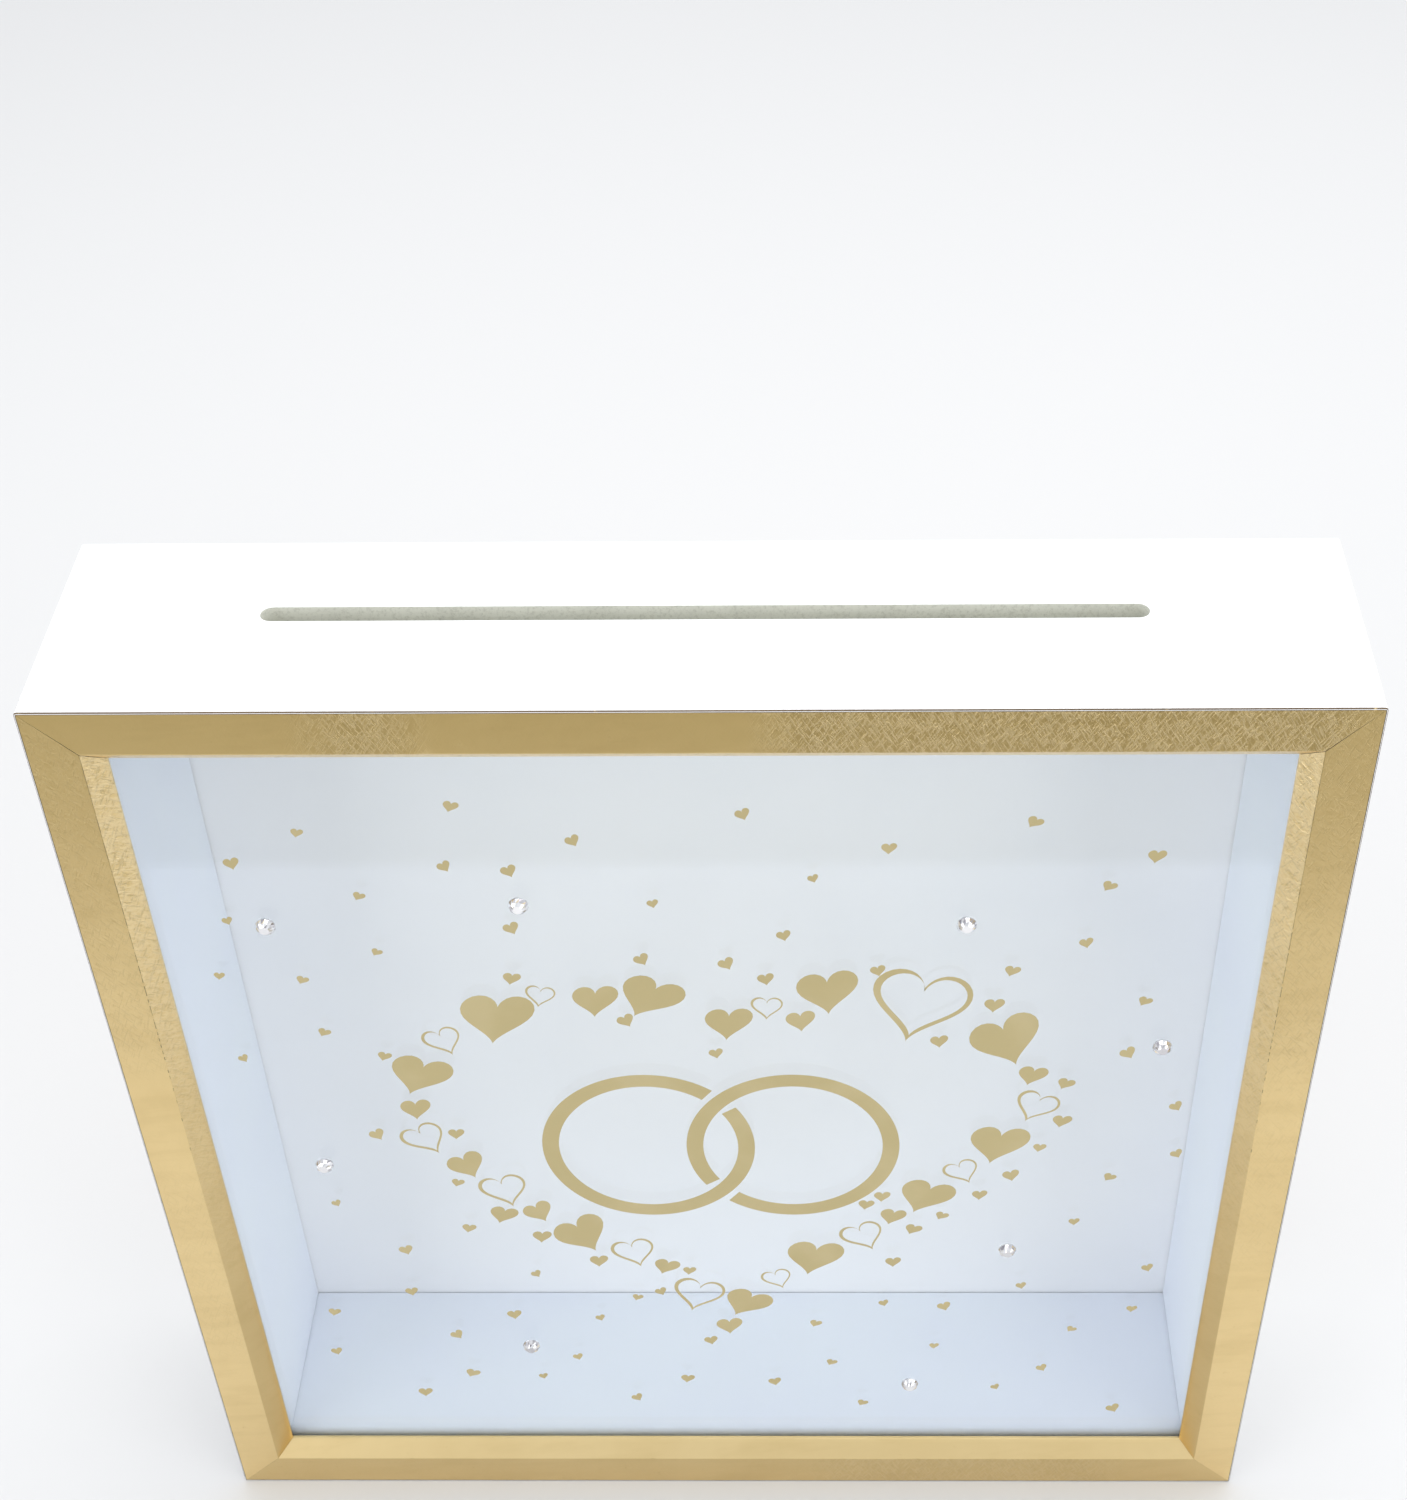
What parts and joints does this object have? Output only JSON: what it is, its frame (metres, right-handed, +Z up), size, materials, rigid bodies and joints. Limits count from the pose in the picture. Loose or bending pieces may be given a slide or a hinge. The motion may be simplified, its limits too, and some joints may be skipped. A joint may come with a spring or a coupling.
{
  "type": "wedding card box",
  "caption": "Free-standing shadow box with a mitred frame, a glass front with small crystals, a card slot in its top and a lift-out back panel held by turn buttons.",
  "frame": {"origin": "middle of the box's footprint, on the surface that it stands on; the footprint includes the hardware that stands out behind", "axes": "+X to the viewer's right, +Y from the gold frame to the rear, +Z up"},
  "size_m": [0.3, 0.068, 0.3],
  "materials": {
    "white_paint": "satin white paint on fibreboard",
    "liner_paint": "matte white paint on fibreboard",
    "gold_leaf": "satin gold leaf on a wooden moulding",
    "clear_glass": "polished",
    "panel_board": "matte white facing on fibreboard",
    "gem_crystal": "polished, foil-backed",
    "brass_plate": "polished brass plate",
    "zinc_steel": "bright zinc plate"
  },
  "bodies": {
    "box": {"case_top": "white_paint", "case_right": "white_paint", "case_bottom": "white_paint", "case_left": "white_paint", "frame_top": "gold_leaf", "frame_right": "gold_leaf", "frame_bottom": "gold_leaf", "frame_left": "gold_leaf", "liner_top": "liner_paint", "liner_right": "liner_paint", "liner_bottom": "liner_paint", "liner_left": "liner_paint", "glass_pane": "clear_glass", "gem_1": "gem_crystal", "gem_2": "gem_crystal", "gem_3": "gem_crystal", "gem_4": "gem_crystal", "gem_5": "gem_crystal", "gem_6": "gem_crystal", "gem_7": "gem_crystal", "gem_8": "gem_crystal", "v_nail_front_top": "zinc_steel", "v_nail_front_right": "zinc_steel", "v_nail_front_bottom": "zinc_steel", "v_nail_front_left": "zinc_steel", "v_nail_rear_top": "zinc_steel", "v_nail_rear_right": "zinc_steel", "v_nail_rear_bottom": "zinc_steel", "v_nail_rear_left": "zinc_steel", "turn_screw_left_upper": "zinc_steel", "turn_screw_left_lower": "zinc_steel", "turn_screw_right_upper": "zinc_steel", "turn_screw_right_lower": "zinc_steel"},
    "panel": {"back_panel": "panel_board"},
    "button_left_upper": {"turn_button_left_upper": "brass_plate"},
    "button_left_lower": {"turn_button_left_lower": "brass_plate"},
    "button_right_upper": {"turn_button_right_upper": "brass_plate"},
    "button_right_lower": {"turn_button_right_lower": "brass_plate"}
  },
  "joints": [
    {"name": "panel_lift_out", "type": "slide", "parent": "box", "child": "panel", "axis": [0, 1, 0], "range_m": [0, 0.15]},
    {"name": "turn_left_upper", "type": "hinge", "parent": "box", "child": "button_left_upper", "pos_m": [-0.1455, 0.03185, 0.225], "axis": [0, 1, 0], "continuous": true},
    {"name": "turn_left_lower", "type": "hinge", "parent": "box", "child": "button_left_lower", "pos_m": [-0.1455, 0.03185, 0.075], "axis": [0, 1, 0], "continuous": true},
    {"name": "turn_right_upper", "type": "hinge", "parent": "box", "child": "button_right_upper", "pos_m": [0.1455, 0.03185, 0.225], "axis": [0, 1, 0], "continuous": true},
    {"name": "turn_right_lower", "type": "hinge", "parent": "box", "child": "button_right_lower", "pos_m": [0.1455, 0.03185, 0.075], "axis": [0, 1, 0], "continuous": true}
  ]
}
